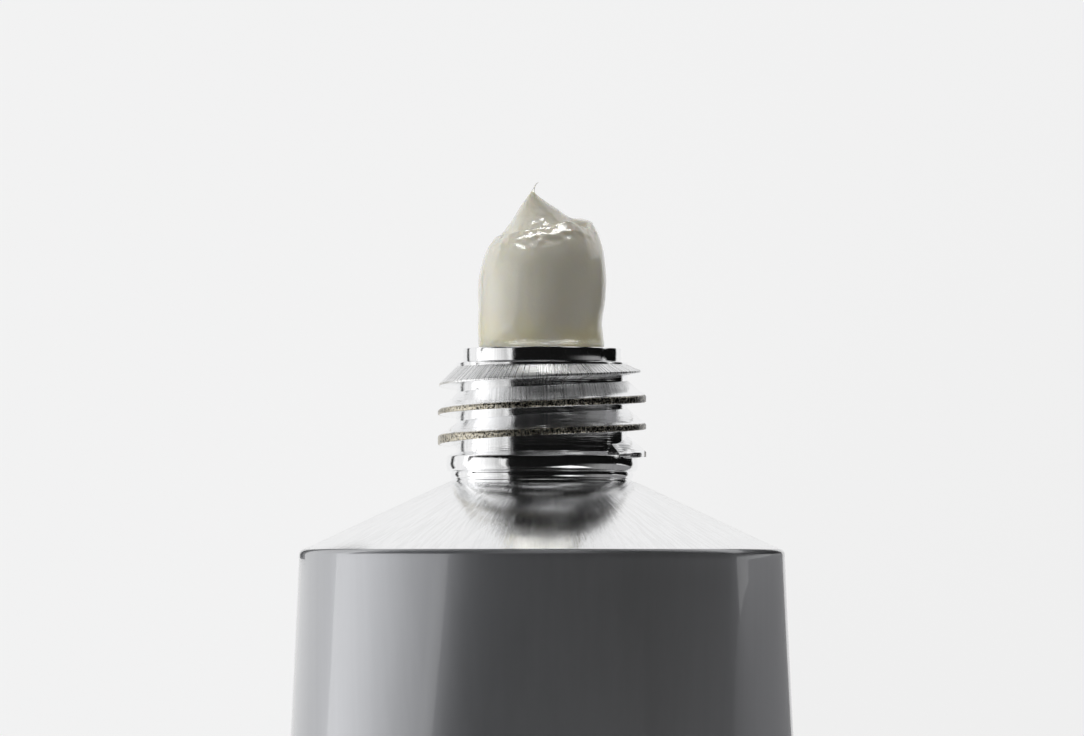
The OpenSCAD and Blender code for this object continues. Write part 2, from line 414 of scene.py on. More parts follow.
def aluminium_material():
    """Bright aluminium: streaks down the neck and the shoulder, and fine turned lines."""
    finish, shape = bpy.context.scene.tube_finishes, form()
    m = Recipe("bare_aluminium")
    place = m.neck_place()
    heading, radius = m.from_axis(place)
    height = m.neck_height(place, shape.neck_base)
    run = m.add("CombineXYZ", Z=m.math("MULTIPLY", m.math("SUBTRACT", radius, height), 0.006))
    streak_place = m.add("VectorMath", {"operation": "ADD"}, i0=heading, i1=run.outputs[0]).outputs[0]
    streaks = m.noise(streak_place, 52.0, 3.0, 0.6)
    broad = m.noise(streak_place, 16.0, 2.0, 0.5)
    grain = m.noise(place, 9.0, 3.0, 0.6)
    on_shoulder = m.span(height, 0.05, -0.25)
    collar_top, lip_base = shape.collar_top / MM, shape.lip_base / MM
    above_collar = m.span(height, collar_top - 0.15, collar_top + 0.15)
    in_root = m.math("MULTIPLY", above_collar, m.span(height, lip_base + 0.15, lip_base - 0.15))
    relief = m.math("MULTIPLY", streaks, m.math("ADD", on_shoulder, 0.14))
    relief = m.plus(relief, broad, m.math("MULTIPLY", on_shoulder, 0.5))
    relief = m.plus(relief, m.turned_lines(place), m.math("MULTIPLY", in_root, 1.6))
    relief = m.plus(relief, grain, 0.12)
    rough = m.plus(finish.metal_rough, on_shoulder, 0.035)
    rough = m.plus(rough, m.math("SUBTRACT", streaks, 0.5), 0.16, clamp=True)
    lip_front = (0.30, 0.95, 0)
    facing = m.add("VectorMath", {"operation": "DOT_PRODUCT"}, i0=heading, i1=lip_front).outputs[1]
    on_lip = m.span(height, lip_base + 0.05, lip_base + 0.25)
    scuffed = m.math("MULTIPLY", m.span(facing, 0.93, 0.985), on_lip)
    scuffed = m.math("MULTIPLY", scuffed, m.span(m.noise(place, 14.0, 2.0, 0.7), 0.46, 0.54))
    rough = m.plus(rough, scuffed, 0.5, clamp=True)
    tone = m.mix(m.span(streaks, 0.35, 0.62), shade(finish.metal, 0.93), rgba(finish.metal))
    shader = m.add(
        "BsdfPrincipled", Base_Color=tone, Metallic=1.0, Roughness=rough,
        Normal=m.bump(relief, 0.00003, 0.6),
    )
    return m.output(shader)


def thread_material():
    """The thread's aluminium: bright sides with dark streaks, and a rough crest with sandy and dark grains.
    The dark streaks are painted shade. The crest's dark grains are partly painted shade, and more of them
    lie to the right.
    """
    finish, neck, shape = bpy.context.scene.tube_finishes, bpy.context.scene.neck_sizes, form()
    m = Recipe("thread_aluminium")
    place = m.neck_place()
    heading, radius = m.from_axis(place)
    crest_r = neck.thread_d / 2 / MM
    on_crest = m.span(radius, crest_r - 0.16, crest_r - 0.07)
    grains = m.noise(place, 6.0, 3.0, 0.8)
    specks = m.noise(place, 9.0, 2.0, 0.7)
    streaks = m.noise(heading, 50.0, 4.0, 0.7)
    # Painted shade: towards the right side of the neck more of the crest turns near-black. The near-black
    # grains partly stand in for dark reflection.
    right = m.add("SeparateXYZ", Vector=heading).outputs[0]
    sandy_share_with_painted_right_shade = m.math("SUBTRACT", grains, m.math("MULTIPLY", right, 0.07))
    dark_grain_and_painted_shade, bright_speck = rgba((0.02, 0.018, 0.015)), rgba((0.85, 0.83, 0.76))
    worn = m.mix(m.span(sandy_share_with_painted_right_shade, 0.49, 0.54), dark_grain_and_painted_shade, rgba(finish.crest))
    worn = m.mix(m.span(specks, 0.58, 0.64), worn, bright_speck)
    # Painted shade: dark streaks in the metal's colour on the thread's sides, strongest in the band near
    # the thread's upper end, stand in for streaky dark reflections.
    drawn = m.span(m.neck_height(place, shape.neck_base), 6.7, 7.3)
    streaks_and_painted_shade = m.math("MULTIPLY", m.span(streaks, 0.52, 0.40), m.plus(0.05, drawn, 0.6))
    side = m.mix(streaks_and_painted_shade, rgba(finish.metal), shade(finish.metal, 0.3))
    tone = m.mix(on_crest, side, worn)
    rough = m.plus(finish.metal_rough + 0.02, m.math("MAXIMUM", on_crest, drawn), 0.16)
    rough = m.plus(rough, m.math("SUBTRACT", streaks, 0.5), 0.2, clamp=True)
    relief = m.math("MULTIPLY", grains, m.plus(0.1, on_crest, 0.7))
    relief = m.plus(relief, streaks, m.plus(0.12, drawn, 1.5))
    relief = m.plus(relief, m.turned_lines(place), m.math("SUBTRACT", 1.2, drawn))
    shader = m.add(
        "BsdfPrincipled", Base_Color=tone, Metallic=1.0, Roughness=rough,
        Normal=m.bump(relief, 0.00004, 0.7),
    )
    return m.output(shader)


def lacquer_material():
    """Grey metallic lacquer under a clear gloss, with faint marks along the tube."""
    finish = bpy.context.scene.tube_finishes
    m = Recipe("grey_lacquer")
    place = m.place()
    cloud = m.noise(place, 0.09, 2.0)
    lines = m.noise(m.stretched(place, 1.0, 0.02, 1.0), 1.1, 3.0, 0.6)
    peel = m.noise(place, 2.2, 2.0, 0.5)
    flakes = m.noise(place, 24.0, 1.0)
    marks = m.plus(m.math("MULTIPLY", cloud, 0.4), lines, 0.6)
    tone = m.mix(m.span(marks, 0.3, 0.7), shade(finish.lacquer, 0.97), shade(finish.lacquer, 1.03))
    rough = m.plus(finish.lacquer_rough, m.math("SUBTRACT", lines, 0.5), 0.03)
    rough = m.plus(rough, m.math("SUBTRACT", flakes, 0.5), 0.02, clamp=True)
    low = m.bump(lines, 0.000004, 0.4)
    shader = m.add(
        "BsdfPrincipled", Base_Color=tone, Metallic=finish.lacquer_metallic, Roughness=rough,
        Normal=m.bump(peel, 0.000006, 0.4, low),
        Coat_Weight=1.0, Coat_Roughness=0.04, Coat_Normal=m.bump(peel, 0.000003, 0.3),
    )
    return m.output(shader)


def cream_material():
    """Dense white cream: light scatters in it, and its surface is wet. Low on the bead its colour is tinted
    yellower as painted shade.
    """
    finish, shape = bpy.context.scene.tube_finishes, form()
    m = Recipe("hand_cream")
    place = m.neck_place()
    height = m.neck_height(place, shape.mouth_h)
    soft = m.noise(place, 0.35, 2.0, 0.5)
    ripples = m.noise(m.stretched(place, 1.0, 1.0, 0.6), 1.3, 3.0, 0.55)
    fine = m.noise(place, 5.0, 3.0, 0.6)
    # Painted shade: low on the bead the cream is tinted yellower, as its shaded part looks.
    low = m.math("MULTIPLY", m.span(height, 3.4, 0.6), m.span(soft, 0.35, 0.65))
    yellow_painted_shade = [c * k for c, k in zip(finish.cream, (1.0, 0.965, 0.8))]
    tone = m.mix(low, rgba(finish.cream), rgba(yellow_painted_shade))
    near_foot = m.span(height, 0.9, 0.1)
    rough = m.plus(finish.cream_rough, m.math("SUBTRACT", fine, 0.5), 0.12)
    relief = m.plus(m.math("MULTIPLY", ripples, 0.7), fine, 0.12)
    relief = m.plus(relief, m.math("MULTIPLY", fine, near_foot), 0.5)
    shader = m.add(
        "BsdfPrincipled", {"subsurface_method": "RANDOM_WALK"}, Base_Color=tone, Roughness=rough,
        IOR=1.44, Subsurface_Weight=0.6, Subsurface_Radius=(1.0, 0.8, 0.45),
        Subsurface_Scale=0.0009, Normal=m.bump(relief, 0.00009, 0.5),
        Coat_Weight=1.0, Coat_Roughness=0.05, Coat_IOR=1.5, Coat_Normal=m.bump(relief, 0.00012, 0.6),
    )
    return m.output(shader)


def sealant_material():
    """Dried latex between the walls of the fold."""
    finish = bpy.context.scene.tube_finishes
    m = Recipe("latex_sealant")
    place = m.place()
    mottle = m.noise(place, 0.8, 3.0)
    tone = m.mix(m.span(mottle, 0.3, 0.7), shade(finish.sealant, 0.85), rgba(finish.sealant))
    shader = m.add(
        "BsdfPrincipled", Base_Color=tone, Roughness=0.62, Normal=m.bump(mottle, 0.00002, 0.5),
    )
    return m.output(shader)


# Pieces


def rim_place(shape, depth, step, steps):
    """Radius and height on the rim, from the edge of the shoulder down to the body."""
    a = shape.rim_turn * (1 - step / steps)
    reach = shape.rim_r - depth
    return shape.radius - shape.rim_r + reach * math.cos(a), shape.rim_h + reach * math.sin(a)


def neck_profile(mesh, shape, neck):
    """Draws the tube's half section at the neck: up the bore, down the outside, to the rim.

    A corner is its radius, its height and its rounding in millimetres.
    """
    base, bore = shape.neck_base, neck.mouth_d / 2
    corners = [
        (shape.radius - shape.inside, 0, 0),
        (bore, shape.shoulder_over(bore) - shape.shoulder_drop, 0.1),
        (bore, shape.mouth_h, 0.08),
        (neck.lip_d / 2, shape.mouth_h, 0.12),
        (neck.lip_d / 2, base + shape.lip_base + 0.05 * MM, 0.06),
        (neck.lip_d / 2 - 0.12 * MM, base + shape.lip_base, 0.03),
        (neck.root_d / 2, base + shape.lip_base, 0.05),
        (neck.root_d / 2, base + shape.collar_top + 0.12 * MM, 0.1),
        (neck.collar_d / 2 - 0.1 * MM, base + shape.collar_top - 0.1 * MM, 0.08),
        (neck.collar_d / 2, base + neck.foot_h + 0.34 * MM, 0.22),
        (neck.collar_d / 2 - 0.14 * MM, base + neck.foot_h, 0.06),
        (neck.foot_d / 2 + 0.03 * MM, base + neck.foot_h - 0.06 * MM, 0.05),
        (neck.foot_d / 2 + 0.12 * MM, base + neck.foot_h * 0.5, 0.2),
        (neck.foot_d / 2 - 0.06 * MM, shape.shoulder_over(neck.foot_d / 2), 0.05),
        (neck.foot_d / 2 + 0.35 * MM, shape.shoulder_over(neck.foot_d / 2 + 0.35 * MM), 0.15),
    ]
    steps = 6
    corners += [(*rim_place(shape, shape.coat_t, i, steps), 0) for i in range(steps + 1)]
    verts = [mesh.verts.new(shape.neck(r, 0, h)) for r, h, _ in corners]
    for pair in zip(verts, verts[1:]):
        mesh.edges.new(pair)
    for vert, (_, _, rounding) in zip(verts, corners):
        if rounding:
            bmesh.ops.bevel(
                mesh, geom=[vert], offset=rounding * MM, offset_type="OFFSET", segments=3,
                profile=0.5, affect="VERTICES", material=-1, clamp_overlap=True,
            )


def add_metal():
    """Lathes the neck and shoulder, then draws both skins of the wall down to the tail."""
    scene = bpy.context.scene
    shape, neck = form(), scene.neck_sizes
    mesh = bmesh.new()
    around = mesh.verts.layers.float.new("around")
    neck_profile(mesh, shape, neck)
    bmesh.ops.spin(
        mesh, geom=mesh.verts[:] + mesh.edges[:], cent=shape.neck_centre, axis=shape.along,
        angle=TURN, steps=ROUND_STEPS, use_merge=True, use_duplicate=False,
    )
    bmesh.ops.remove_doubles(mesh, verts=mesh.verts, dist=WELD)
    open_edges = [e for e in mesh.edges if e.is_boundary]
    for vert in {v for e in open_edges for v in e.verts}:
        vert[around] = shape.around(vert.co)
    middle = shape.radius - (shape.coat_t + shape.inside) / 2
    outer, inner = [], []
    for edge in open_edges:
        offset = edge.verts[0].co - shape.neck_centre
        offset -= shape.along * offset.dot(shape.along)
        (outer if offset.length > middle else inner).append(edge)
    stations = 40
    for i in range(stations + 1):
        u = i / stations
        outer = next_ring(mesh, outer, lambda q: shape.body(u, q, shape.coat_t))
        if i:
            inner = next_ring(mesh, inner, lambda q: shape.body(u, q, shape.inside))
    bmesh.ops.bridge_loops(mesh, edges=outer + inner)
    piece = finished("aluminium_tube", mesh, aluminium_material(), sharp=28)
    dress(piece, "tube")


# Where wear has changed the crest's flat: the turn, the millimetres added and their reach in turns
CREST_WEAR = ((0.5, 0.24, 0.14), (1.5, -0.08, 0.2), (2.0, 0.10, 0.2))


def crest_width(neck, turns):
    """Width of the crest's flat, which wear has spread low on the left and near the top."""
    spread = sum(added * math.exp(-(((turns - at) / reach) ** 2)) for at, added, reach in CREST_WEAR)
    spread -= 0.2 * smoothstep(turns, 2.2, 2.5)
    return neck.crest_w + spread * MM


def add_thread():
    """Sweeps the thread's section round the neck, and fades it out under the lip."""
    shape, neck = form(), bpy.context.scene.neck_sizes
    lead, bury, top_gap = 0.1, 0.25 * MM, 0.03 * MM
    fade = [(2.2, 1.0), (2.5, 0.94), (3.0, 0.76), (3.1, 0.6), (3.2, 0.15)]
    base, crest_r = neck.root_d / 2 - bury, neck.thread_d / 2
    slope_h = min(crest_r - base, neck.thread_pitch - neck.crest_w - neck.under_h - top_gap)

    mesh = bmesh.new()
    out = mesh.verts.layers.float.new("out")
    level = mesh.verts.layers.float.new("level")
    half = neck.crest_w / 2
    section = [
        (base, -half - neck.under_h), (crest_r, -half), (crest_r, half), (base, half + slope_h),
    ]
    verts = [mesh.verts.new((x, z, 0)) for x, z in section]
    for a, b in zip(verts, verts[1:] + verts[:1]):
        mesh.edges.new((a, b))
    bmesh.ops.bevel(
        mesh, geom=verts[1:3], offset=0.05 * MM, offset_type="OFFSET", segments=2,
        profile=0.5, affect="VERTICES", material=-1, clamp_overlap=True,
    )
    outer = [e for e in mesh.edges if max(v.co.x for v in e.verts) > base * 1.01]
    long_edges = [e for e in outer if e.calc_length() > 0.2 * MM]
    bmesh.ops.subdivide_edges(mesh, edges=long_edges, cuts=3)
    for v in mesh.verts:
        v[out] = (v.co.x - base) / (crest_r - base)
        v[level] = v.co.y

    def put(v, turns):
        rise = min(1, max(0.22, (turns + lead) / lead), curve_through(fade, turns))
        start = neck.collar_d / 2 - bury if turns < 0 else base
        crest = start + (crest_r - start) * rise
        wide = crest_width(neck, turns)
        z = shape.neck_base + shape.collar_top + turns * neck.thread_pitch
        side = min(crest - base, neck.thread_pitch - wide - neck.under_h - top_gap)
        top = min(z + wide / 2 + side, shape.neck_base + shape.lip_base - top_gap)
        r = base + v[out] * (crest - base)
        if v[level] > half:
            h = z + wide / 2 + (v[level] - half) / slope_h * (top - z - wide / 2)
        elif v[level] < -half:
            h = z - wide / 2 + v[level] + half
        else:
            h = z + v[level] / half * wide / 2
        angle = turns * TURN
        if v[out] > 0.8:
            spot = Vector((math.cos(angle) * 60, math.sin(angle) * 60, (h + r) / MM * 3.0))
            r += 0.018 * MM * noise.noise(spot)
            h += 0.016 * MM * noise.noise(spot + Vector((9, 4, 7)))
        v.co = shape.neck(r, -angle, h)

    per_turn = 160
    first, last = -int(lead * per_turn), int(fade[-1][0] * per_turn)
    ring = mesh.edges[:]
    start_ring = ring
    for v in mesh.verts:
        put(v, first / per_turn)
    for i in range(first + 1, last + 1):
        fresh, ring = extruded(mesh, ring)
        for v in fresh:
            put(v, i / per_turn)
    for end in (start_ring, ring):
        bmesh.ops.contextual_create(mesh, geom=end)
    piece = finished("neck_thread", mesh, thread_material(), sharp=30)
    dress(piece, "tube")


def add_lacquer():
    """Draws the lacquer down the body from the rim, and back up under itself."""
    shape = form()
    mesh = bmesh.new()
    rim_steps, stations = 8, 80
    outside, under = [], []
    for i in range(rim_steps):
        for depth, rings in ((0, outside), (shape.coat_t, under)):
            r, h = rim_place(shape, depth, i, rim_steps)
            rings.append(lambda q, r=r, h=h: shape.neck(r, q, h))
    for i in range(stations + 1):
        u = i / stations
        outside.append(lambda q, u=u: shape.body(u, q, 0))
        under.append(lambda q, u=u: shape.body(u, q, shape.coat_t))
    places = outside + under[::-1]
    first = ring = new_ring(mesh, ROUND_STEPS, places[0])
    for place in places[1:]:
        ring = next_ring(mesh, ring, place)
    bmesh.ops.bridge_loops(mesh, edges=first + ring)
    piece = finished("lacquer_body", mesh, lacquer_material(), sharp=40)
    dress(piece, "lacquer_coat")


def add_fold():
    """Folds the flat end of the body over twice, as one strip, and gives it its thickness."""
    shape = form()
    mesh = bmesh.new()
    half, pitch, low = shape.strip_t / 2, shape.layer_pitch, shape.strip_t / 2
    turn_y = shape.tail_y - shape.fold_h + pitch + half
    front_y = shape.tail_y - pitch
    side, overlap = -shape.fold_w / 2, 0.4 * MM
    end = mesh.verts.new((side, shape.tail_y + overlap, low))

    def straight(vert, to_y):
        made = bmesh.ops.extrude_vert_indiv(mesh, verts=[vert])["verts"][0]
        made.co.y = to_y
        return made

    def turn(vert, centre_z, steps, way):
        made = bmesh.ops.spin(
            mesh, geom=[vert], cent=(side, vert.co.y, centre_z), axis=(1, 0, 0),
            angle=way * math.pi, steps=steps,
        )["geom_last"]
        return next(g for g in made if isinstance(g, bmesh.types.BMVert))

    end = straight(straight(end, shape.tail_y), turn_y)
    end = turn(end, low + pitch, 12, -1)
    end = straight(end, front_y)
    end = turn(end, low + 1.5 * pitch, 8, -1)
    straight(end, turn_y + pitch)
    bmesh.ops.remove_doubles(mesh, verts=mesh.verts, dist=WELD)
    ring, across = mesh.edges[:], 24
    for _ in range(across):
        fresh, ring = extruded(mesh, ring)
        bmesh.ops.translate(mesh, verts=fresh, vec=(shape.fold_w / across, 0, 0))
    piece = finished("lacquer_fold", mesh, bpy.data.materials["grey_lacquer"])
    wall = piece.modifiers.new("wall", "SOLIDIFY")
    wall.thickness, wall.offset = shape.strip_t, 0
    edge = piece.modifiers.new("edge", "BEVEL")
    edge.width, edge.segments, edge.limit_method = 0.12 * MM, 3, "ANGLE"
    edge.angle_limit = math.radians(50)
    dress(piece, "lacquer_coat")


# The cream's bead. Its heights and reaches are millimetres, for a bead of this height and width
# and with this share of the width as its depth. Its wall ends in a ridge, and behind the ridge
# the cream is drawn up into a leaning peak.
BEAD_HIGH, BEAD_WIDE, BEAD_DEPTH = 12.0, 9.2, 0.96
RIDGE_HEIGHT = [
    (-180, 7.9), (-150, 8.3), (-120, 8.7), (-90, 9.0), (-60, 9.3), (-30, 9.3), (0, 8.95),
    (22, 8.5), (48, 8.75), (62, 8.95), (78, 8.6), (99, 8.42), (125, 8.1), (150, 7.7), (180, 7.9),
]
WALL_LEFT = [(0, 4.56), (0.4, 4.6), (2.5, 4.61), (4.6, 4.6), (12, 4.6)]
WALL_RIGHT = [(0, 4.46), (0.3, 4.5), (1.0, 4.4), (1.8, 4.34), (3.2, 4.56), (4.6, 4.63), (12, 4.63)]
PEAK_LEFT = [
    (9.3, -2.15), (9.6, -1.92), (10.5, -1.38), (11.2, -0.86), (11.55, -0.62), (11.8, -0.5), (12.0, -0.3),
]
PEAK_RIGHT = [
    (9.3, 2.35), (9.6, 1.75), (10.0, 1.2), (10.6, 0.28), (11.2, -0.47), (11.55, -0.52), (11.8, -0.42),
    (12.0, -0.24),
]


def bead_wall(q, t):
    """Reach across, reach to the front and height on the wall, at a share t of its height."""
    degrees = (math.degrees(q) + 180) % 360 - 180
    top = curve_through(RIDGE_HEIGHT, degrees)
    h = top * t
    wide = curve_through(WALL_RIGHT if math.cos(q) > 0 else WALL_LEFT, h)
    deep = 0.5 * (curve_through(WALL_RIGHT, h) + curve_through(WALL_LEFT, h)) * BEAD_DEPTH
    front = smoothstep(math.sin(q), 0.0, 0.45)
    side_shrink = (0.27 - 0.06 * smoothstep(math.cos(q))) * (max(0, t - 0.45) / 0.55) ** 3.2
    front_shrink = 0.2 * (max(0, t - 0.62) / 0.38) ** 2.4
    shrink = 1 - side_shrink - (front_shrink - side_shrink) * front
    lip = 0.1 * front * math.exp(-(((t - 0.95) / 0.04) ** 2))
    foot = 0.2 * front * math.exp(-((h / 0.3) ** 2))
    wide, deep = wide * shrink + lip + foot, deep * shrink + lip + foot
    return wide * math.cos(q), deep * math.sin(q), h


def bead_roll(q, share):
    """Over the ridge and down into the hollow behind it."""
    x, v, h = bead_wall(q, 1)
    front = smoothstep(math.sin(q), -0.15, 0.45)
    inward, drop = 0.15 + 0.22 * front, 0.4 * front - 0.12
    a = share * math.pi
    r = math.hypot(x, v)
    scale = (r - inward * (1 - math.cos(a))) / r
    return x * scale, v * scale, h + 0.2 * front * math.sin(a) - drop * (1 - math.cos(a)) / 2


def bead_peak(q, share):
    """From the hollow up to the tip of the peak."""
    x0, v0, h0 = bead_roll(q, 1)
    foot, foot_h = 0.28, 9.45
    if share <= foot:
        k = share / foot
        x1, v1, h1 = bead_peak(q, foot + 1e-6)
        return x0 + (x1 - x0) * k, v0 + (v1 - v0) * k, h0 + (h1 - h0) * k
    rest = (share - foot) / (1 - foot)
    h = foot_h + (BEAD_HIGH - foot_h) * rest ** 0.9
    left, right = curve_through(PEAK_LEFT, h), curve_through(PEAK_RIGHT, h)
    middle, half = (left + right) / 2, (right - left) / 2
    lean = -0.25 - 0.45 * smoothstep(rest) + 0.25 * smoothstep(rest, 0.8, 1)
    return middle + half * math.cos(q), half * 0.95 * math.sin(q) + lean, h


def bead_ripple(x, v, h, q, near_ridge):
    """Small unevenness of the cream, stronger along the ridge."""
    spot = Vector((x, v, h))
    soft = 0.05 * noise.noise(spot * 0.55)
    fine = 0.08 * near_ridge * noise.noise(spot * 2.3 + Vector((3, 1, 5)))
    fold = 0.0
    if math.sin(q) > 0:
        # In front, a faint fold climbs to the right from the foot at the left
        line = h - (0.35 + 0.5 * (x + 4.2))
        fold = 0.07 * math.exp(-((line / 0.28) ** 2)) * smoothstep(x, -4.4, -3.6) * smoothstep(-x, 1.6, 2.8)
    return soft + fine + fold


def add_cream():
    """One mass of cream, from inside the body through the mouth to the tip of the bead."""
    scene = bpy.context.scene
    shape, neck, cream = form(), scene.neck_sizes, scene.cream_sizes
    full = 1 - cream.headspace / shape.body_len
    bore = neck.mouth_d / 2
    wide, tall = cream.bead_w / BEAD_WIDE, cream.bead_h / BEAD_HIGH
    deep = wide * cream.bead_depth / BEAD_DEPTH
    mesh = bmesh.new()
    stations = 30
    places = [
        lambda q, u=full * (1 - i / stations): shape.body(u, q, shape.inside) for i in range(stations + 1)
    ]
    under = shape.shoulder_over(bore) - shape.shoulder_drop
    levels = (under, under + MM, shape.mouth_h - 0.6 * MM, shape.mouth_h - 0.1 * MM)
    places += [lambda q, h=h: shape.neck(bore, q, h) for h in levels]

    def bead(part, value, near):
        def place(q):
            x, v, h = part(q, value)
            if 0 < near:
                size = math.hypot(x, v) or 1
                push = bead_ripple(x, v, h, q, near) * smoothstep(h, 0.0, 0.5)
                x, v = x * (1 + push / size), v * (1 + push / size)
            across = Vector((x * wide, 0, 0)) + shape.up(0) * v * deep
            return shape.neck_centre + across + shape.along * (shape.mouth_h + h * tall)
        return place

    wall_rings, roll_rings, peak_rings = 64, 10, 55
    for i in range(wall_rings):
        t = 1 - (1 - i / wall_rings) ** 1.5
        places.append(bead(bead_wall, t, 0.1 + smoothstep(t, 0.8, 0.97)))
    for i in range(roll_rings):
        places.append(bead(bead_roll, i / roll_rings, 1.0))
    for i in range(peak_rings + 1):
        t = i / peak_rings
        places.append(bead(bead_peak, t, 0.8 * (1 - t) ** 2))
    first = ring = new_ring(mesh, ROUND_STEPS, places[0])
    for place in places[1:]:
        ring = next_ring(mesh, ring, place)
    for end in (first, ring):
        bmesh.ops.contextual_create(mesh, geom=end)
    piece = finished("cream_mass", mesh, cream_material())
    dress(piece, "cream")
    bpy.data.collections.new("cream_only").objects.link(piece)


def dress_sealant():
    """Gives the sealant in the fold its own finish."""
    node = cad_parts["end_sealant"]
    node.data.materials.clear()
    node.data.materials.append(sealant_material())


# Stage


def stage_sheet(name, mesh, material, **seen):
    """A floor or card of the stage. It can be hidden from some kinds of ray."""
    data = bpy.data.meshes.new(name)
    mesh.to_mesh(data)
    mesh.free()
    sheet = bpy.data.objects.new(name, data)
    bpy.context.scene.collection.objects.link(sheet)
    data.materials.append(material)
    for key, value in seen.items():
        setattr(sheet, "visible_" + key, value)
    return sheet


def seen_directly(m):
    """1 for rays that show the backdrop: to the camera, in metal and through glass."""
    path = m.add("LightPath")
    seen = m.math("MAXIMUM", path.outputs["Is Camera Ray"], path.outputs["Is Glossy Ray"])
    return m.math("MAXIMUM", seen, path.outputs["Is Transmission Ray"])


def add_floor():
    """A floor that shows mostly the backdrop's colour, and keeps the tube's shadow."""
    stage = bpy.context.scene.stage_settings
    lift, shown_share = 1.09, 0.85
    m = Recipe("pale_floor")
    lit = m.add("BsdfDiffuse", Color=rgba(stage.floor))
    shown = m.add("Emission", Color=rgba([min(1, lift * c) for c in stage.backdrop]), Strength=1.0)
    part = m.math("MULTIPLY", seen_directly(m), shown_share)
    floor = m.output(m.add("MixShader", i0=part, i1=lit.outputs[0], i2=shown.outputs[0]))
    mesh = bmesh.new()
    bmesh.ops.create_grid(mesh, x_segments=1, y_segments=1, size=3)
    stage_sheet("floor", mesh, floor)


ONLY_REFLECTED = {"camera": False, "diffuse": False, "shadow": False, "transmission": False}


def card(name, corner, across, down, material):
    """A flat card with a corner and two sides, which only reflections show."""
    mesh = bmesh.new()
    corner, across = Vector(corner), Vector(across)
    ends = [mesh.verts.new(corner), mesh.verts.new(corner + across)]
    fresh, _ = extruded(mesh, [mesh.edges.new(ends)])
    bmesh.ops.translate(mesh, verts=fresh, vec=down)
    stage_sheet(name, mesh, material, **ONLY_REFLECTED)


def arched_card(name, start, end, low, high, material):
    """A card bent round the neck's axis, between two angles from straight up, in degrees."""
    mesh = bmesh.new()
    shape, reach = form(), 0.55
    arm = Matrix.Rotation(math.radians(start), 3, shape.along) @ shape.up(0) * reach
    ends = [mesh.verts.new(shape.neck_centre + arm + shape.along * h) for h in (low, high)]
    line = mesh.edges.new(ends)
    bmesh.ops.spin(
        mesh, geom=[*ends, line], cent=shape.neck_centre, axis=shape.along,
        angle=math.radians(end - start), steps=16,
    )
    stage_sheet(name, mesh, material, **ONLY_REFLECTED)


def add_dark_cards():
    """Black and grey cards over the tube, in front of it and on the floor beside it. The grey and fading
    cards glow dimly. The cards on the floor are painted shade on the floor as reflections see it.
    """
    dark = 0.012
    m = Recipe("black_card")
    black = m.output(m.add("BsdfDiffuse", Color=rgba((dark, dark, dark))))
    m = Recipe("grey_card")
    grey = m.output(m.add("Emission", Color=rgba((0.24, 0.24, 0.245)), Strength=1.0))
    m = Recipe("fading_card")
    height = m.add("SeparateXYZ", Vector=m.add("TexCoord").outputs["Object"]).outputs[2]
    glow = m.span(height, 0.44, 0.10, dark, 0.26)
    fading = m.output(m.add("Emission", Color=rgba((1, 1, 1)), Strength=glow))
    left, middle, right = -44, 40, 104
    tail_end, shoulder_h, mouth_end = -0.45, 0.0025, 0.5
    arched_card("card_above", left, middle, tail_end, shoulder_h, black)
    arched_card("card_beside", middle, right, tail_end, shoulder_h, fading)
    arched_card("card_above_neck", left, right, shoulder_h, mouth_end, black)
    # Painted shade: card_right, card_right_far, card_right_body, card_before, card_left and card_far_left
    # lie on the floor and darken it as reflections see it. The cards right of the tube darken it where the
    # tube's shadow falls, and card_left is a painted contact shadow beside the neck.
    card("card_right", (0.024, 0.0572, 0.0004), (0.6, 0.05, 0), (0, 0.025, 0), black)
    card("card_right_far", (0.12, 0.0572, 0.0005), (0.5, 0, 0), (0, 0.3, 0), black)
    card("card_right_body", (0.024, -0.30, 0.0004), (0.6, 0, 0), (0, 0.3572, 0), grey)
    card("card_before", (-0.08, 0.13, 0.0007), (0.16, 0, 0), (0, 0.47, 0), black)
    card("card_left", (-0.028, 0.055, 0.0004), (0.006, 0, 0), (0, 0.025, 0), black)
    card("card_front", (-0.45, 0.60, 0.04), (1.1, 0, 0), (0, 0, 0.6), black)
    card("card_corner", (-0.42, 0.19, 0.02), (0, 0.43, 0), (0, 0, 0.5), black)
    card("card_far_left", (-0.42, 0.19, 0.0008), (0.30, -0.12, 0), (0, 0.43, 0), black)


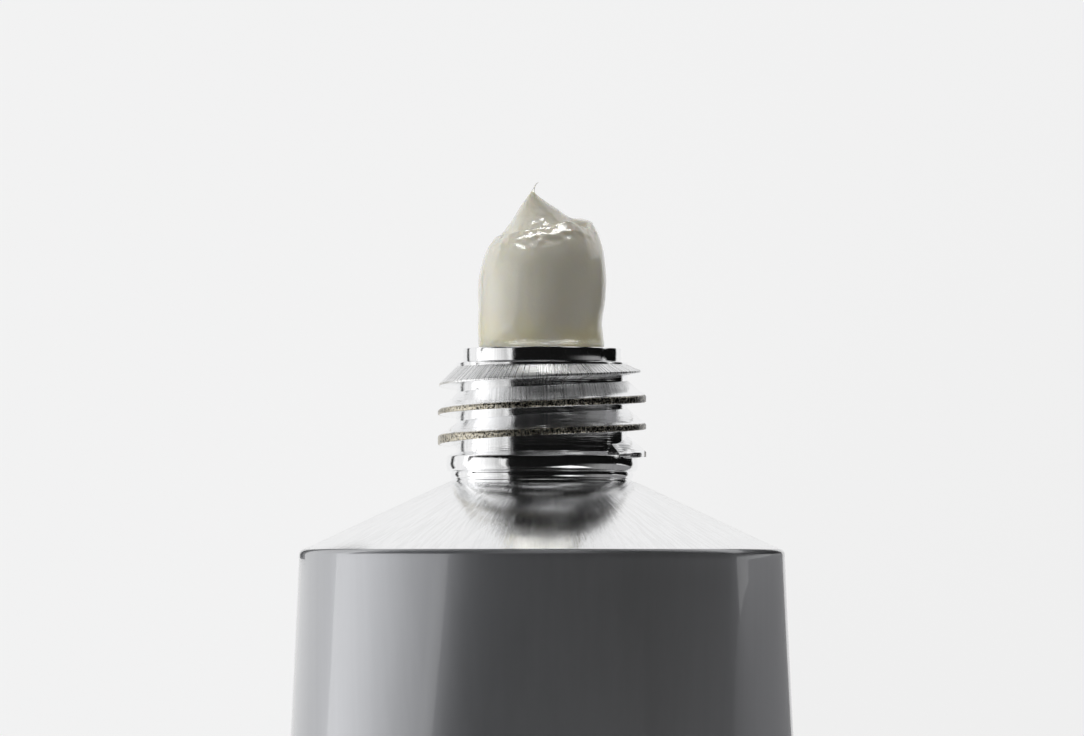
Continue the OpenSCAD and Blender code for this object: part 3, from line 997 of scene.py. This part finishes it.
def add_left_panel():
    """A sheet that lies on the floor on the left and turns up, and glows on its inner side.

    It glows less the higher it is seen from the neck.
    """
    stage, shape = bpy.context.scene.stage_settings, form()
    centre = shape.neck_centre
    lowest, highest, foot_end = math.radians(-24), math.radians(39), math.radians(-8)
    m = Recipe("left_panel")
    place = m.add("Mapping", Vector=m.add("TexCoord").outputs["Object"], Location=(0, 0, -centre.z))
    parts = m.add("SeparateXYZ", Vector=place.outputs[0])
    climb = m.math("ARCTAN2", parts.outputs[2], m.math("MULTIPLY", parts.outputs[0], -1.0))
    glow = m.add(
        "MapRange", Value=climb, From_Min=lowest, From_Max=highest,
        To_Min=stage.side_light, To_Max=stage.side_light * 0.27,
    )
    foot = m.span(climb, lowest, foot_end, stage.side_light * 0.5, 0.0)
    facing = m.math("SUBTRACT", 1.0, m.add("NewGeometry").outputs["Backfacing"])
    strength = m.math("MULTIPLY", m.math("ADD", glow.outputs[0], foot), facing)
    glowing = m.output(m.add("Emission", Color=rgba((1, 1, 1)), Strength=strength))
    mesh = bmesh.new()
    start, end = centre.y - 0.85, centre.y + 0.12
    low = [mesh.verts.new((-0.075, y, 0.0006)) for y in (start, end)]
    edges = [mesh.edges.new(low)]
    for step in ((-0.325, 0, 0), (0, 0, 0.34)):
        fresh, edges = extruded(mesh, edges)
        bmesh.ops.translate(mesh, verts=fresh, vec=step)
    for face in mesh.faces:
        face.normal_update()
        if face.normal.x + face.normal.z < 0:
            face.normal_flip()
    stage_sheet("left_panel", mesh, glowing, camera=False, shadow=False)


def add_panel(name, place, target, size, radiance, glossy=True):
    """A soft rectangular lamp of a given radiance, turned to a target."""
    lamp = bpy.data.lights.new(name, "AREA")
    lamp.shape = "RECTANGLE"
    lamp.size, lamp.size_y = size
    lamp.energy = 4 * size[0] * size[1] * radiance
    panel = bpy.data.objects.new(name, lamp)
    bpy.context.scene.collection.objects.link(panel)
    panel.location = place
    panel.rotation_euler = (Vector(target) - Vector(place)).to_track_quat("-Z", "Y").to_euler()
    panel.visible_camera, panel.visible_glossy = False, glossy
    return panel


def add_lights():
    """Soft lamps round the neck. The cream panel lights the cream alone."""
    stage, shape = bpy.context.scene.stage_settings, form()
    centre, distance = shape.neck_centre, 0.5

    def away(across, up, along):
        direction = Vector((across, 0, 0)) + shape.up(0) * up + shape.along * along
        return centre + direction * distance

    aside, back = math.radians(26), math.radians(42)
    low = away(math.sin(aside) * math.cos(back), math.cos(aside) * math.cos(back), -math.sin(back))
    streak = add_panel("low_panel", low, centre, (0.8, 0.36), stage.low_light)
    add_panel("rim_strip", away(0.06, 0.26, 0.96), centre, (0.16, 0.03), stage.rim_light)
    wet = add_panel("cream_panel", away(0, 0.407, 0.914), centre, (0.95, 0.24), stage.cream_light)
    wet.light_linking.receiver_collection = bpy.data.collections["cream_only"]
    streak.visible_diffuse = wet.visible_diffuse = False
    add_panel("soft_front", away(0, 0.24, 0.97), centre, (0.5, 0.3), 1.0, glossy=False)
    side = add_panel("soft_left", (-0.3, 0.03, 0.09), centre, (0.5, 0.16), 1.5, glossy=False)
    side.data.color = (0.93, 0.98, 1.05)
    add_panel("soft_right", (0.35, 0.06, 0.09), centre, (0.5, 0.16), 0.5, glossy=False)
    add_panel("top_panel", (0.1, 0.1, 1.2), (0, 0, 0), (1.2, 1.2), stage.top_light, glossy=False)


def set_world():
    """Even light from all round, which shows as the backdrop's colour."""
    stage = bpy.context.scene.stage_settings
    m = Recipe("studio", "worlds")
    fill = m.add("Background", Color=rgba((1, 1, 1)), Strength=stage.fill)
    shown = m.add("Background", Color=rgba(stage.backdrop))
    mix = m.add("MixShader", i0=seen_directly(m), i1=fill.outputs[0], i2=shown.outputs[0])
    bpy.context.scene.world = m.output(mix, "OutputWorld")


def add_camera():
    """Looks straight down on the tube's round end, level with its rim, with the neck upward."""
    shape = form()
    distance, aim = 0.598, 0.0138
    camera = bpy.data.objects.new("camera", bpy.data.cameras.new("camera"))
    scene = bpy.context.scene
    scene.collection.objects.link(camera)
    camera.data.lens, camera.data.sensor_width = 275.8, 36
    camera.data.clip_start, camera.data.clip_end = 0.01, 20
    place = shape.neck_centre + shape.up(0) * distance
    back = (place - (shape.neck_centre + shape.along * aim)).normalized()
    right = shape.along.cross(back).normalized()
    turn = Matrix((right, back.cross(right), back)).transposed()
    camera.matrix_world = Matrix.Translation(place) @ turn.to_4x4()
    scene.camera = camera


# Operators


class CREAM_TUBE_OT_metal(bpy.types.Operator):
    """Make the aluminium tube and its thread"""

    bl_idname = "cream_tube.metal"
    bl_label = "Aluminium tube"

    def execute(self, context):
        add_metal()
        add_thread()
        return {"FINISHED"}


class CREAM_TUBE_OT_lacquer(bpy.types.Operator):
    """Make the lacquer on the body and the fold"""

    bl_idname = "cream_tube.lacquer"
    bl_label = "Lacquer"

    def execute(self, context):
        add_lacquer()
        add_fold()
        return {"FINISHED"}


class CREAM_TUBE_OT_cream(bpy.types.Operator):
    """Make the cream and finish the sealant"""

    bl_idname = "cream_tube.cream"
    bl_label = "Cream"

    def execute(self, context):
        add_cream()
        dress_sealant()
        return {"FINISHED"}


class CREAM_TUBE_OT_stage(bpy.types.Operator):
    """Set up the floor, the cards, the light and the camera"""

    bl_idname = "cream_tube.stage"
    bl_label = "Stage"

    def execute(self, context):
        add_floor()
        add_dark_cards()
        add_left_panel()
        add_lights()
        set_world()
        add_camera()
        context.scene.view_settings.view_transform = "Standard"
        return {"FINISHED"}


OPERATORS = (CREAM_TUBE_OT_metal, CREAM_TUBE_OT_lacquer, CREAM_TUBE_OT_cream, CREAM_TUBE_OT_stage)


class CREAM_TUBE_PT_panel(bpy.types.Panel):
    """Lists the steps that build the tube"""

    bl_idname = "CREAM_TUBE_PT_panel"
    bl_label = "Cream Tube"
    bl_space_type = "VIEW_3D"
    bl_region_type = "UI"
    bl_category = "Cream Tube"

    def draw(self, context):
        for operator in OPERATORS:
            self.layout.operator(operator.bl_idname)


GROUPS = {
    "tube_sizes": TubeSizes, "neck_sizes": NeckSizes, "cream_sizes": CreamSizes,
    "tube_finishes": TubeFinishes, "stage_settings": StageSettings,
}


def register():
    for cls in (*GROUPS.values(), *OPERATORS, CREAM_TUBE_PT_panel):
        bpy.utils.register_class(cls)
    for name, group in GROUPS.items():
        setattr(bpy.types.Scene, name, PointerProperty(type=group))


def unregister():
    for name in GROUPS:
        delattr(bpy.types.Scene, name)
    for cls in reversed((*GROUPS.values(), *OPERATORS, CREAM_TUBE_PT_panel)):
        bpy.utils.unregister_class(cls)


def main():
    register()
    bpy.ops.cream_tube.metal()
    bpy.ops.cream_tube.lacquer()
    bpy.ops.cream_tube.cream()
    bpy.ops.cream_tube.stage()


if __name__ == "__main__":
    main()
